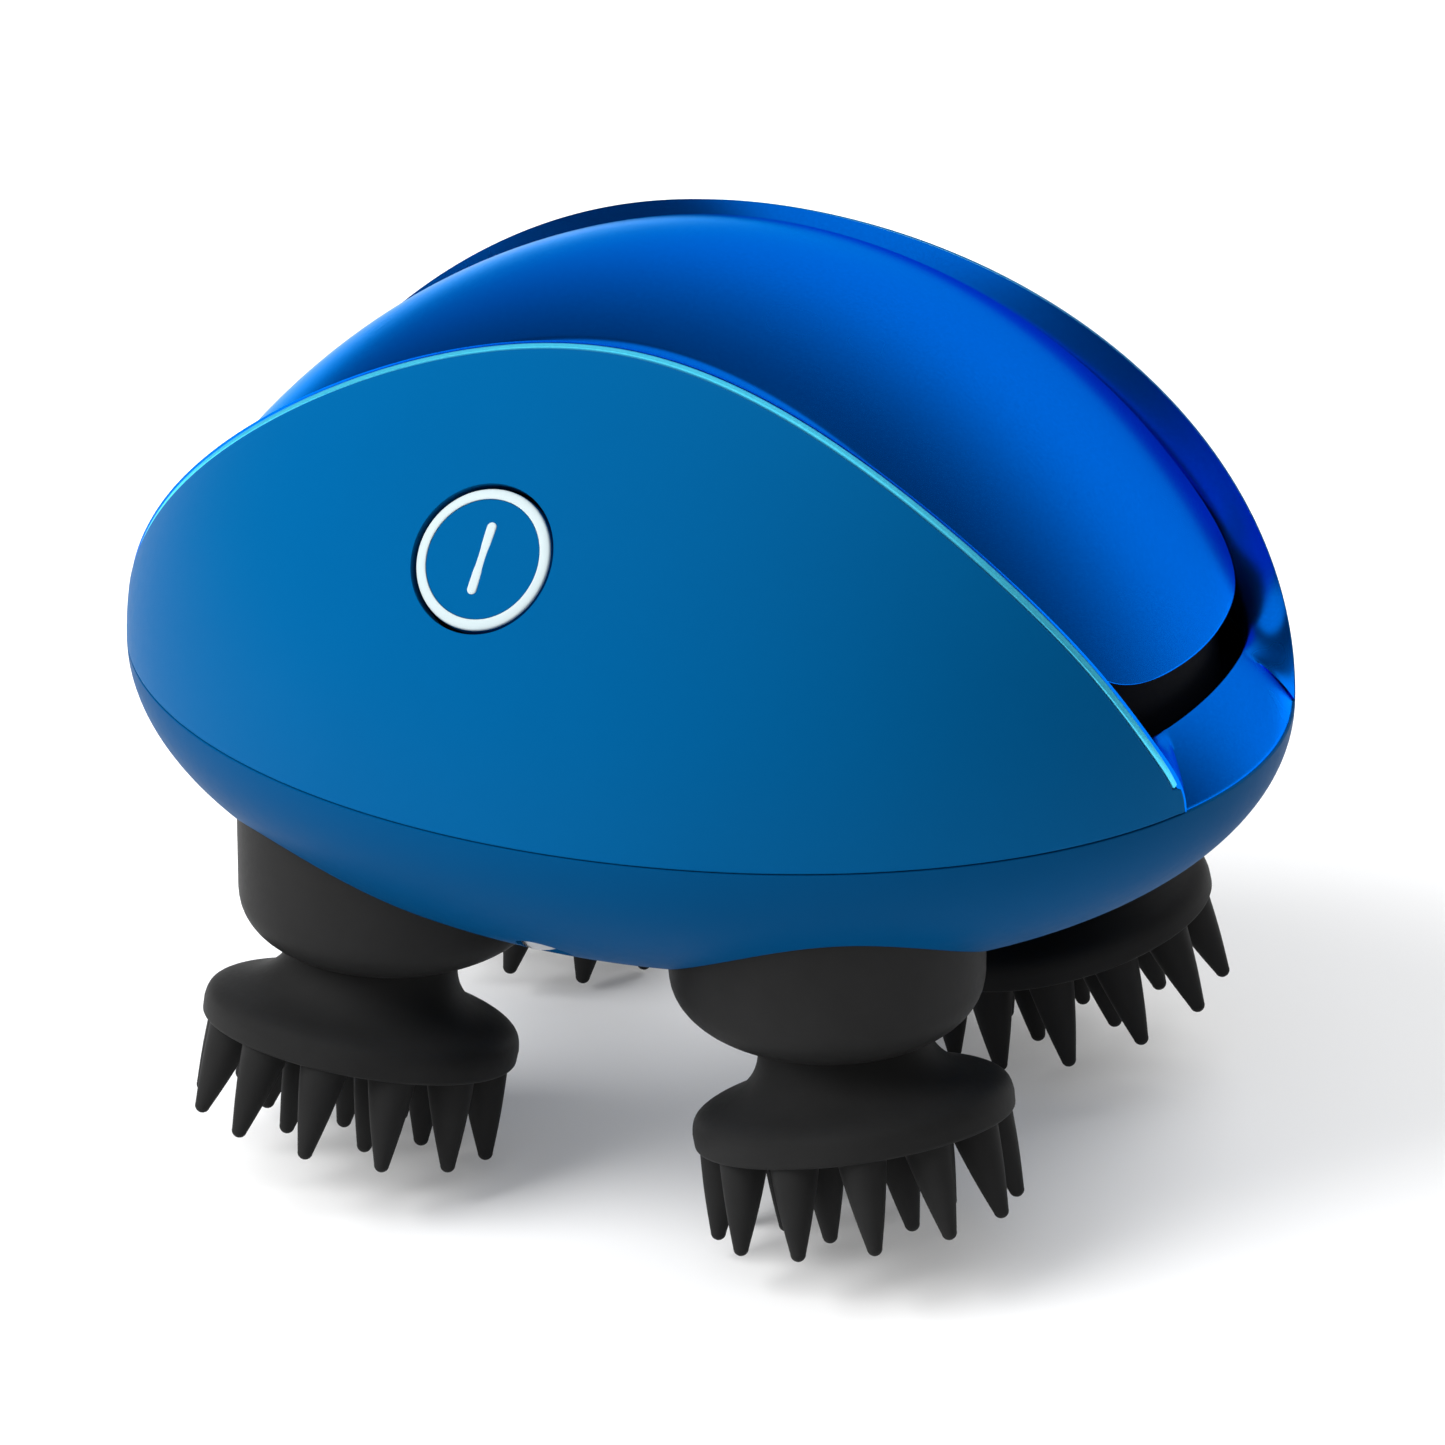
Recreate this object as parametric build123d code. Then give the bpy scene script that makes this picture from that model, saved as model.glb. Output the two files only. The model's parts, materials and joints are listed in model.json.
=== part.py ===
from build123d import *
import math
import os

os.makedirs("parts", exist_ok=True)

# Scalp massager brush. Millimetres, +Z up. The origin is on the ground, under the centre of the
# body, where the lowest nub tips stand. X runs along the body and -Y is the power button's side.

# Body
HALF_LENGTH = 62.5
HALF_WIDTH = 51.0
DOME_HEIGHT = 47.0
BOWL_DEPTH = 26.0
BOWL_FLAT = 20.0          # depth of the flat bottom below the seam
SEAM_Z = 49.6             # height of the plane where the upper and lower housings meet
WALL = 2.2
COVER = 2.3               # thickness of the matte side covers
SEAM_GAP = 0.3
BIG = 200.0

# Upper edge of the front side cover, seen from above: half of a mirrored curve, as (x, y)
EDGE = [(0, 22.0), (20, 23.6), (38, 24.7), (51, 22.4), (57, 19.0), (61.5, 11.5), (64, 5)]
TRIM_WIDTH = 1.2
RIM_WIDTH = 2.0           # from the cover's edge in to the pocket for the palm grip

# Palm grip, an inset ellipsoid between the covers
GRIP = (57.5, 48.0, 45.0)
GRIP_BASE = 11.5          # height of its lower end edges above the seam
END_PANEL_TOP = 7.5       # height of the sloping end panels above the seam
END_PANEL_RUN = 5.6

# Heads
HEAD_X = 24.5
HEAD_Y = 24.5
TILT = 15.0               # of each head's own axis from upright, degrees
BOSS_R = 16.2
BOSS_TOP = 40.2
BOSS_LOW = 20.6
DISC_R = 16.6
NECK_R = 8.8
DISC_LOW = 20.8           # depths along the tilted axis, below the pivot
DISC_HIGH = 16.8
TIP_DEPTH = 30.85
TIP_R = 0.8
ROOT_RING = 13.7          # ring radius of the outer nubs at their roots
TIP_RING = 15.45          # and at their tips
LEAN = {"front_left": 250.0, "front_right": 327.0, "rear_right": 17.0, "rear_left": 163.0}
SHAFT_R = 2.5
# Height where a head's axis meets its upright drive axis, for the lowest tips to stand on the ground
PIVOT_Z = (TIP_R + (TIP_DEPTH - TIP_R) * math.cos(math.radians(TILT))
           + TIP_RING * math.sin(math.radians(TILT)))
RUNNING = 0.05            # radial clearance of a running fit
POCKET_R = 16.7
POCKET_TOP = 40.6

# Gears
HEAD_TEETH = 24
SUN_TEETH = 48
SMALL_TEETH = 14
WHEEL_TEETH = 54
PINION_TEETH = 14
FINE_MODULE = 0.45
TOOTH_TIP = 0.8           # tooth height above and below the pitch circle, in modules
TOOTH_ROOT = 1.2
PRESSURE = math.radians(20)
MODULE = 2 * math.hypot(HEAD_X, HEAD_Y) / (HEAD_TEETH + SUN_TEETH)
GEAR_Z = 44.8
GEAR_WIDTH = 3.8
WHEEL_Z = 49.4
WHEEL_WIDTH = 3.0
REDUCTION_X = MODULE * (SUN_TEETH + SMALL_TEETH) / 2
MOTOR_X = REDUCTION_X - FINE_MODULE * (WHEEL_TEETH + PINION_TEETH) / 2
PLATE_Z = 42.6
PLATE = 1.6
BRACKET_Z = 54.0

# Power button
BUTTON_R = 7.4
BUTTON_HOLE_R = 7.85
BUTTON_RECESS = 0.3
BUTTON_X = -6.0
BUTTON_UP = 26.8          # height of its centre above the seam

SCREW_SPOTS = [(48.5, 0), (-48.5, 0), (0, 40), (0, -40)]
PORT_X = 10.0             # charging socket, on the rear side
PORT_UP = 7.5
SOCKET_HALF_WIDTH = 4.6
SOCKET_HALF_HEIGHT = 1.9
SOCKET_BACK = 40.0
SOCKET_MOUTH = 47.0
PLUG_HALF_WIDTH = 5.1
PLUG_HALF_HEIGHT = 2.6
PLUG_SEAT = 48.24         # distance of the stopper's cap from the middle plane
PLUG_STEM_END = 44.0
PILLAR_SPOTS = [(8, 32), (-8, 32), (8, -32), (-8, -32)]


def ellipsoid(a, b, c):
    return Pos(0, 0, SEAM_Z) * scale(Sphere(10), by=(a / 10, b / 10, c / 10))


def inset(depth):
    """The body's upper form, moved in by a depth."""
    return ellipsoid(HALF_LENGTH - depth, HALF_WIDTH - depth, DOME_HEIGHT - depth)


def bowl(depth):
    """The body's lower form, moved in by a depth."""
    return ellipsoid(HALF_LENGTH - depth, HALF_WIDTH - depth, BOWL_DEPTH - depth)


def above(z):
    return Pos(0, 0, z + BIG / 2) * Box(BIG, BIG, BIG)


def below(z):
    return Pos(0, 0, z - BIG / 2) * Box(BIG, BIG, BIG)


def post(x, y, radius, low, high):
    return Pos(x, y, (low + high) / 2) * Cylinder(radius, high - low)


def disc(a, b, low, high):
    return Pos(0, 0, low) * extrude(Ellipse(a, b), high - low)


def channel(shift):
    """Upright prism between the two cover edges, each edge moved in by shift."""
    right = [(x, y - shift) for x, y in EDGE]
    rear = [(-x, y) for x, y in reversed(right[1:])] + right
    front = [(x, -y) for x, y in reversed(rear)]
    outline = Spline(*rear) + Line(rear[-1], front[0]) + Spline(*front) + Line(front[-1], rear[0])
    return Pos(0, 0, SEAM_Z - 5) * extrude(make_face(outline), 60)


def end_panel(shift):
    """Elliptic frustum whose flank is the sloping panel at each end of the body."""
    low = Pos(0, 0, SEAM_Z) * Ellipse(HALF_LENGTH - shift, HALF_WIDTH - shift)
    run = END_PANEL_RUN + shift
    high = Pos(0, 0, SEAM_Z + END_PANEL_TOP - shift) * Ellipse(HALF_LENGTH - run, HALF_WIDTH - run)
    return loft([low.face(), high.face()])


def save(name, shape):
    export_step(shape, f"parts/{name}.step")


# Button axis: the outward normal of the body's upper form at the button's centre
button_y = -HALF_WIDTH * math.sqrt(1 - (BUTTON_X / HALF_LENGTH) ** 2 - (BUTTON_UP / DOME_HEIGHT) ** 2)
button_centre = Vector(BUTTON_X, button_y, SEAM_Z + BUTTON_UP)
button_out = Vector(BUTTON_X / HALF_LENGTH**2, button_y / HALF_WIDTH**2, BUTTON_UP / DOME_HEIGHT**2)
button_out = button_out.normalized()
button_plane = Plane(origin=button_centre, x_dir=(1, 0, 0.1), z_dir=button_out)


def along_button(radius, low, high):
    """Cylinder on the button's axis between two heights above the body's surface."""
    return button_plane * Pos(0, 0, (low + high) / 2) * Cylinder(radius, high - low)


# ---------------------------------------------------------------- housings and covers

def make_lower_housing():
    shell = (bowl(0) & below(SEAM_Z) & above(SEAM_Z - BOWL_FLAT)) - (bowl(2.4) & above(SEAM_Z - BOWL_FLAT + 2.4))
    ledge = (disc(60.4, 48.9, SEAM_Z - 3, SEAM_Z - 1.2) - disc(57.9, 46.4, SEAM_Z - 3, SEAM_Z - 1.2)) & bowl(0.5)
    shell += ledge
    for sx in (1, -1):
        for sy in (1, -1):
            x, y = sx * HEAD_X, sy * HEAD_Y
            shell += post(x, y, POCKET_R + 1.8, SEAM_Z - BOWL_FLAT, POCKET_TOP + 1.8) & bowl(0.01)
    for x, y in SCREW_SPOTS:
        shell += post(x, y, 3.6, SEAM_Z - BOWL_FLAT, SEAM_Z - 0.2) & bowl(0.01)
    for sx in (1, -1):
        for sy in (1, -1):
            x, y = sx * HEAD_X, sy * HEAD_Y
            shell -= post(x, y, POCKET_R, 0, POCKET_TOP)
            shell -= post(x, y, 4.0, POCKET_TOP - 1, POCKET_TOP + 3)
    for x, y in SCREW_SPOTS:
        shell -= post(x, y, 1.6, 20, SEAM_Z + 1)
        shell -= post(x, y, 2.9, 20, 36)
    return shell


def make_upper_housing():
    web = channel(-0.5)
    outer = inset(COVER + 0.1) - channel(RIM_WIDTH)
    outer += ellipsoid(54.9, 45.4, 42.3)
    outer += channel(TRIM_WIDTH) & (inset(0) - channel(RIM_WIDTH))
    outer += web & (inset(COVER + 0.1) - channel(RIM_WIDTH))
    outer += channel(0) & end_panel(0)
    outer &= above(SEAM_Z)
    dome_hollow = ellipsoid(52.7, 43.2, 40.1)
    side_hollow = inset(COVER + 0.1 + WALL) - web
    panel_hollow = end_panel(2.3) - ellipsoid(54.9, 45.4, 42.3)
    shell = outer - dome_hollow - side_hollow - panel_hollow
    for x, y in SCREW_SPOTS:
        boss = post(x, y, 3.3, SEAM_Z, SEAM_Z + 12)
        if x:
            shell += boss & ellipsoid(54.5, 45.0, 42.0)
        else:
            rib = Pos(0, y + math.copysign(4, y), SEAM_Z + 6) * Box(2, 8, 12)
            shell += (boss + rib) & inset(4.2)
    for x, y in SCREW_SPOTS:
        shell -= post(x, y, 1.2, SEAM_Z - 1, SEAM_Z + 9)
    shell -= along_button(3.4, -20, 5)
    return shell - port_form(4.7, 2.0, 30, 60)


def make_side_cover(front):
    shell = (inset(0) - inset(COVER)) & above(SEAM_Z + SEAM_GAP)
    shell -= channel(-0.02)
    if front:
        shell &= Pos(0, -BIG / 2, SEAM_Z) * Box(BIG, BIG, BIG)
        return shell - along_button(BUTTON_HOLE_R, -10, 10)
    shell &= Pos(0, BIG / 2, SEAM_Z) * Box(BIG, BIG, BIG)
    return shell - port_form(5.2, 2.7, 40, 60)


def make_trim(front):
    strip = (inset(0) - inset(1.1)) & (channel(0) - channel(TRIM_WIDTH - 0.02)) & above(SEAM_Z + 8)
    side = -1 if front else 1
    return strip & (Pos(0, side * BIG / 2, SEAM_Z) * Box(BIG, BIG, BIG))


def make_palm_grip():
    shell = ellipsoid(*GRIP) - ellipsoid(*(v - 2.2 for v in GRIP))
    return shell & channel(RIM_WIDTH + 0.12) & above(SEAM_Z + GRIP_BASE)


def make_seam_gasket():
    z = SEAM_Z - 1.2
    return disc(59.9, 48.4, z, SEAM_Z) - disc(58.1, 46.6, z, SEAM_Z)


# ---------------------------------------------------------------- power button

def button_layer(outer, inner, high, low):
    """Ring or disc on the button's axis that follows the body's surface between two depths."""
    ring = along_button(outer, -6, 4)
    if inner:
        ring -= along_button(inner, -6, 4)
    return ring & (inset(high) - inset(low))


def button_bar_form(high, low):
    bar = button_plane * Pos(0, 0, -4) * extrude(SlotOverall(7.6, 1.05, rotation=90), 8)
    return bar & (inset(high) - inset(low))


def make_power_button():
    face = button_layer(BUTTON_R, 0, BUTTON_RECESS, 1.4)
    face -= button_layer(7.35, 6.25, 0, 0.75)
    face -= button_bar_form(0, 0.75)
    return face + along_button(3.0, -6.6, -1.2)


def make_return_pad():
    return along_button(5.0, -2.35, -1.75) - along_button(3.6, -3, 0)


# ---------------------------------------------------------------- heads

def head_frame(corner):
    """Location of a head's own tilted frame, with its pivot at the origin and -Z towards the disc."""
    x = HEAD_X if "right" in corner else -HEAD_X
    y = HEAD_Y if "rear" in corner else -HEAD_Y
    return Pos(x, y, PIVOT_Z) * Rot(0, 0, LEAN[corner]) * Rot(0, -TILT, 0)


def make_head_form():
    """Silicone head in its own frame: stem sleeve, neck, disc and three rings of cone nubs."""
    edge = DISC_R - 1.5
    with BuildPart() as form:
        with BuildSketch(Plane.XZ):
            with BuildLine():
                Line((0, -8), (7.6, -8))
                Line((7.6, -8), (NECK_R, -12.0))
                Line((NECK_R, -12.0), (NECK_R, -12.8))
                RadiusArc((NECK_R, -12.8), (12.2, -16.1), -3.4)
                Line((12.2, -16.1), (edge, -DISC_HIGH))
                RadiusArc((edge, -DISC_HIGH), (DISC_R, -DISC_HIGH - 1.6), 1.6)
                Line((DISC_R, -DISC_HIGH - 1.6), (DISC_R - 0.2, -DISC_LOW + 0.3))
                Line((DISC_R - 0.2, -DISC_LOW + 0.3), (DISC_R - 0.6, -DISC_LOW))
                Line((DISC_R - 0.6, -DISC_LOW), (0, -DISC_LOW))
                Line((0, -DISC_LOW), (0, -8))
            make_face()
        revolve(axis=Axis.Z)
    head = form.part
    for ring_r, count, base_r in ((ROOT_RING, 12, 2.6), (7.4, 6, 2.4), (0, 1, 2.4)):
        for i in range(count):
            head += Rot(0, 0, i * 360 / count) * nub(ring_r, base_r)
    return head


def nub(ring_r, base_r):
    """One cone nub, leaning outward a little, with a rounded tip."""
    drop = TIP_DEPTH - DISC_LOW - TIP_R
    lean = math.atan2(TIP_RING - ROOT_RING, drop) * ring_r / ROOT_RING
    height = drop / math.cos(lean)
    cone = Pos(0, 0, -height / 2) * Rot(180, 0, 0) * Cone(base_r, TIP_R, height)
    cone += Pos(0, 0, -height) * Sphere(TIP_R)
    root = Pos(0, 0, 0.3) * Cylinder(base_r, 0.6)
    return Pos(ring_r, 0, -DISC_LOW) * Rot(0, -math.degrees(lean), 0) * (cone + root)


def make_core_form():
    """Rigid core inside a silicone head: a stem that plugs into the boss, and a plate."""
    return post(0, 0, 5.4, -18.6, -5.5) + post(0, 0, 12.5, -19.2, -17.6)


def make_boss():
    """Drive cup on the upright axis: a cylinder with a rounded, shallow underside."""
    with BuildPart() as form:
        with BuildSketch(Plane.XZ):
            with BuildLine():
                Line((0, BOSS_TOP), (BOSS_R, BOSS_TOP))
                Line((BOSS_R, BOSS_TOP), (BOSS_R, 27.4))
                ThreePointArc((BOSS_R, 27.4), (15.0, 24.4), (12.4, 22.5))
                ThreePointArc((12.4, 22.5), (6.4, 21.0), (0, BOSS_LOW))
                Line((0, BOSS_LOW), (0, BOSS_TOP))
            make_face()
        revolve(axis=Axis.Z)
    return form.part




def involute(angle):
    return math.tan(angle) - angle


def gear(teeth, module, low, width, bore, turn=0.0, backlash=0.10):
    """Spur gear with involute flanks, and a tooth centred on +X before it is turned."""
    pitch_r = teeth * module / 2
    base_r = pitch_r * math.cos(PRESSURE)
    radii = [pitch_r + TOOTH_TIP * module * k for k in (1.0, 0.5, 0.0, -0.6)]
    half = []
    for r in radii:
        angle = math.acos(min(1.0, base_r / r))
        half.append((r, math.pi / teeth / 2 - backlash / pitch_r + involute(PRESSURE) - involute(angle)))
    half.append((pitch_r - TOOTH_ROOT * module, half[-1][1]))
    points = []
    for i in range(teeth):
        centre = 2 * math.pi * i / teeth + math.radians(turn)
        for r, a in reversed(half):
            points.append((r * math.cos(centre - a), r * math.sin(centre - a)))
        for r, a in half:
            points.append((r * math.cos(centre + a), r * math.sin(centre + a)))
    blank = extrude(make_face(Polyline(*points, close=True)), width)
    return Pos(0, 0, low) * (blank - Cylinder(bore, 3 * width))


def make_heads():
    head_form = make_head_form()
    core_form = make_core_form()
    boss_form = make_boss()
    for corner in LEAN:
        frame = head_frame(corner)
        x, y = frame.position.X, frame.position.Y
        core = frame * core_form
        head = frame * head_form
        boss = Pos(x, y, 0) * boss_form
        shaft = post(x, y, SHAFT_R, 33.0, 49.0)
        save(f"massage_head_{corner}", head - core - boss)
        save(f"head_core_{corner}", core - shaft)
        save(f"head_boss_{corner}", boss - core - shaft)
        save(f"drive_shaft_{corner}", shaft)
        wheel = gear(HEAD_TEETH, MODULE, GEAR_Z, GEAR_WIDTH, SHAFT_R, turn=180 / HEAD_TEETH)
        save(f"head_gear_{corner}", Pos(x, y, 0) * wheel)
        bush = post(x, y, 4.0, POCKET_TOP + 0.5, PLATE_Z + PLATE)
        save(f"shaft_bush_{corner}", bush - post(x, y, SHAFT_R + RUNNING, 30, 50))


# ---------------------------------------------------------------- gear train, motor and electronics

def make_gear_plate():
    plate = disc(53.5, 43.0, PLATE_Z, PLATE_Z + PLATE) & bowl(2.8)
    for sx in (1, -1):
        for sy in (1, -1):
            plate -= post(sx * HEAD_X, sy * HEAD_Y, 4.0, 30, 60)
    for x, y in SCREW_SPOTS:
        plate -= post(x, y, 4.0, 30, 60)
    for x in (0, REDUCTION_X):
        plate -= post(x, 0, 1.5, 30, 60)
    return plate


def make_motor_bracket():
    plate = disc(44, 36, BRACKET_Z, BRACKET_Z + 1.8)
    plate -= post(MOTOR_X, 0, 3.6, 40, 70)
    for x, y in SCREW_SPOTS:
        plate -= post(x, y, 4.0, 30, 90)
    for x, y in PILLAR_SPOTS:
        plate -= post(x, y, 1.3, 30, 90)
    return plate - post(REDUCTION_X, 0, 1.5, 30, 90)


def make_pillars():
    group = []
    for x, y in PILLAR_SPOTS:
        group.append(post(x, y, 2.6, PLATE_Z + PLATE, BRACKET_Z) - post(x, y, 1.0, BRACKET_Z - 6, BRACKET_Z + 1))
    return Compound(children=group)


def make_bracket_screws():
    top = BRACKET_Z + 1.8
    group = [post(x, y, 1.0, top - 6, top) + post(x, y, 2.0, top, top + 1.4) for x, y in PILLAR_SPOTS]
    return Compound(children=group)


def make_housing_screws():
    group = [post(x, y, 1.2, 36, SEAM_Z + 7) + post(x, y, 2.7, 34.2, 36) for x, y in SCREW_SPOTS]
    return Compound(children=group)


def make_motor():
    base = BRACKET_Z + 1.8
    can = post(MOTOR_X, 0, 10.2, base, base + 25)
    can += post(MOTOR_X, 0, 5, base + 25, base + 27)
    return can - post(MOTOR_X, 0, 1.05, base - 1, base + 6)


def make_motor_pinion():
    shaft = post(MOTOR_X, 0, 1.0, WHEEL_Z - 0.3, BRACKET_Z + 6)
    wheel = gear(PINION_TEETH, FINE_MODULE, WHEEL_Z, WHEEL_WIDTH, 0.5, turn=180 / PINION_TEETH, backlash=0.06)
    return Pos(MOTOR_X, 0, 0) * wheel + shaft


def make_reduction_gear():
    bore = 1.5 + RUNNING
    wheel = gear(WHEEL_TEETH, FINE_MODULE, WHEEL_Z, WHEEL_WIDTH, bore, backlash=0.06)
    small = gear(SMALL_TEETH, MODULE, GEAR_Z, WHEEL_Z - GEAR_Z, bore, turn=180 / SMALL_TEETH)
    return Pos(REDUCTION_X, 0, 0) * (wheel + small)


def make_sun_gear():
    return gear(SUN_TEETH, MODULE, GEAR_Z, GEAR_WIDTH, 1.5 + RUNNING)


def make_battery_cell():
    return Pos(-22, 0, SEAM_Z + 16.5) * Rot(90, 0, 0) * Cylinder(9.0, 50)


def make_battery_holder():
    base = BRACKET_Z + 1.8
    cradle = Pos(-22, 0, base + 5) * Box(15, 44, 10)
    return cradle - Pos(-22, 0, SEAM_Z + 16.5) * Rot(90, 0, 0) * Cylinder(9.15, 80)


def make_control_board():
    return button_plane * Pos(0, 0, -10.5) * Box(26, 16, 1.2)


def make_tact_switch():
    return button_plane * (Pos(0, 0, -8.9) * Box(6, 6, 2.0) + Pos(0, 0, -7.7) * Cylinder(1.6, 0.4))


def port_form(half_w, half_h, low, high):
    """Flat-sided oval, as of a charging socket, running along Y at the rear."""
    oval = SlotOverall(2 * half_w, 2 * half_h)
    mouth = Plane(origin=(PORT_X, high, SEAM_Z + PORT_UP), x_dir=(1, 0, 0), z_dir=(0, 1, 0))
    return mouth * extrude(oval, low - high)


def make_charging_port():
    shell = port_form(SOCKET_HALF_WIDTH, SOCKET_HALF_HEIGHT, SOCKET_BACK, SOCKET_MOUTH)
    return shell - port_form(SOCKET_HALF_WIDTH - 0.4, SOCKET_HALF_HEIGHT - 0.4, SOCKET_BACK + 1, SOCKET_MOUTH + 3)


def make_port_plug():
    """Rubber stopper: a cap that follows the rear cover, and a stem that fills the socket's mouth."""
    cap = port_form(PLUG_HALF_WIDTH, PLUG_HALF_HEIGHT, PLUG_SEAT, HALF_WIDTH + 9) & inset(0.1)
    stem = port_form(SOCKET_HALF_WIDTH - 0.6, SOCKET_HALF_HEIGHT - 0.6, PLUG_STEM_END, PLUG_SEAT + 0.2)
    return cap + stem


def main():
    save("lower_housing", make_lower_housing())
    save("upper_housing", make_upper_housing())
    save("front_side_cover", make_side_cover(True))
    save("rear_side_cover", make_side_cover(False))
    save("front_trim_strip", make_trim(True))
    save("rear_trim_strip", make_trim(False))
    save("palm_grip", make_palm_grip())
    save("seam_gasket", make_seam_gasket())
    save("power_button", make_power_button())
    save("button_ring", button_layer(7.33, 6.27, BUTTON_RECESS, 0.72))
    save("button_bar", button_bar_form(BUTTON_RECESS, 0.72))
    save("button_return_pad", make_return_pad())
    make_heads()
    save("gear_plate", make_gear_plate())
    save("motor_bracket", make_motor_bracket())
    save("bracket_pillars", make_pillars())
    save("bracket_screws", make_bracket_screws())
    save("housing_screws", make_housing_screws())
    save("motor", make_motor())
    save("motor_pinion", make_motor_pinion())
    save("reduction_gear", make_reduction_gear())
    save("reduction_axle", post(REDUCTION_X, 0, 1.5, PLATE_Z, BRACKET_Z + 1.8))
    save("sun_gear", make_sun_gear())
    save("sun_axle", post(0, 0, 1.5, PLATE_Z, GEAR_Z + GEAR_WIDTH + 0.4))
    save("battery_cell", make_battery_cell())
    save("battery_holder", make_battery_holder())
    save("control_board", make_control_board())
    save("tact_switch", make_tact_switch())
    save("charging_port", make_charging_port())
    save("port_plug", make_port_plug())


main()
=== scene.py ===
import json
import math

import bmesh
import bpy
import numpy as np
from mathutils import Matrix, Vector


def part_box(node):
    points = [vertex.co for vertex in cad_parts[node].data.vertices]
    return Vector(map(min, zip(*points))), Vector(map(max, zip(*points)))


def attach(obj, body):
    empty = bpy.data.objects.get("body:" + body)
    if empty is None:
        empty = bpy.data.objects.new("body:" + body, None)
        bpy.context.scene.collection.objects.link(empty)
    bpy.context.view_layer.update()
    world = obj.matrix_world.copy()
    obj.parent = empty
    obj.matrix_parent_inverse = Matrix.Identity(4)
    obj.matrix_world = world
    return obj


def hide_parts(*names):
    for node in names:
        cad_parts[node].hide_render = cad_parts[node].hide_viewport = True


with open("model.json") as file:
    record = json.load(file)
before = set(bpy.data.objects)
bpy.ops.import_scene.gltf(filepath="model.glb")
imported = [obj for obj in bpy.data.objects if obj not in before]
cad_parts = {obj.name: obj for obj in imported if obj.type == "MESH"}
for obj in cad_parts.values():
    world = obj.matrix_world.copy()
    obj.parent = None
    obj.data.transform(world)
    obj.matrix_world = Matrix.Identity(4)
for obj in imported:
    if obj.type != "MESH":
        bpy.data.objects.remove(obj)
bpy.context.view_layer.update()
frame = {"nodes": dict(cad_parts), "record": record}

# Shapes are worked out in millimetres in the row frame, and turned into metres as each mesh is made.
MM = 0.001
low_corner, high_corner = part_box("lower_housing")
SEAM = high_corner.z / MM                  # height of the plane where the housings meet
BODY = np.array([high_corner.x / MM, high_corner.y / MM, 47.0])   # half length, half width, dome height
BOWL_DEPTH = 26.0
BOWL_FLAT = SEAM - low_corner.z / MM
BOWL_THICK = 2.3
# The cover's upper edge seen from above: x, and distance from the middle plane.
COVER_EDGE = [(0, 22.0), (20, 23.6), (38, 24.7), (51, 22.4), (57, 19.0), (61.5, 11.5), (64, 5)]
COVER_THICK = 2.2
COVER_ROUND = 0.28                         # radius of the cover's rounded edge
SEAM_GAP = 0.12
TRIM_END = 3.0                             # height above the seam where each trim strip ends
EDGE_STEP = 0.95                           # how far the cover's edge steps in below the trim
GRIP = np.array([59.9, 62.0, 45.0])
GRIP_POWER = 0.7                           # 0.5 would be an ellipsoid; this is slimmer at its shoulders
GRIP_END = 55.5                            # x of the grip's tip
PANEL_END = 56.6                           # x of the end panel's inner edge, on the middle plane
CORNER_X = 55.6                            # where the opening's sides turn into its ends
CORNER_START = 44.0                        # where the inner edge starts to draw in towards the corner
END_BOW = 0.008                            # how strongly the frame curves at each end, seen from above
GRIP_BOW = 0.0105                          # the same for the grip
FRAME_DROP = 2.3                           # from the cover's edge in to the frame's inner edge
GRIP_DROP = 2.55                           # from the cover's edge in to the grip
CORNER_TIGHT = 5                           # how tightly the opening and the grip turn at their corners
PANEL_TOP = 6.4                            # height of the end panels' inner edges above the seam
RIM_IN, RIM_SINK = 1.14, 0.12              # the frame's outer edge, in from the cover's and below it
LIP_R = 0.45                               # how the frame rolls over into the slot
DOME = np.array([54.6, 45.1, 41.9])        # the inner dome under the grip, coloured near-black as painted shade for the slot
BUTTON_AT = (-6.0, 26.8)                   # x, and height above the seam
BUTTON_R = 7.4
BUTTON_HOLE_R = 7.85
BUTTON_RECESS = 0.35
PORT_AT = (10.0, 7.5)                      # x, and height above the seam
PORT_HOLE = (5.2, 2.7)                     # half width and half height
TILT = math.radians(15.0)                  # of each disc, from level
# The direction each disc is tilted towards, in degrees round from +X.
LEAN = {"front_left": 250.0, "front_right": 327.0, "rear_right": 17.0, "rear_left": 163.0}
BOSS_R = 16.2
BOSS_BOTTOM = 22.7                         # lowest point of each drive boss, above the floor
POCKET_R = 16.7
SCREW_R = 2.7
SCREW_HOLE_R = 2.9
POCKET_TOP = 40.6
POCKET_FOOT = SEAM - 17                    # the walls start here, or where the bowl is if that is higher


# ---------------------------------------------------------------- curves and surfaces

def unit(v):
    v = np.asarray(v, float)
    return v / np.maximum(np.linalg.norm(v, axis=-1, keepdims=True), 1e-12)


def smooth(low, high, x):
    """0 below low, 1 above high, and a smooth step between."""
    t = np.clip((np.asarray(x, float) - low) / (high - low), 0, 1)
    return t * t * (3 - 2 * t)


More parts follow.
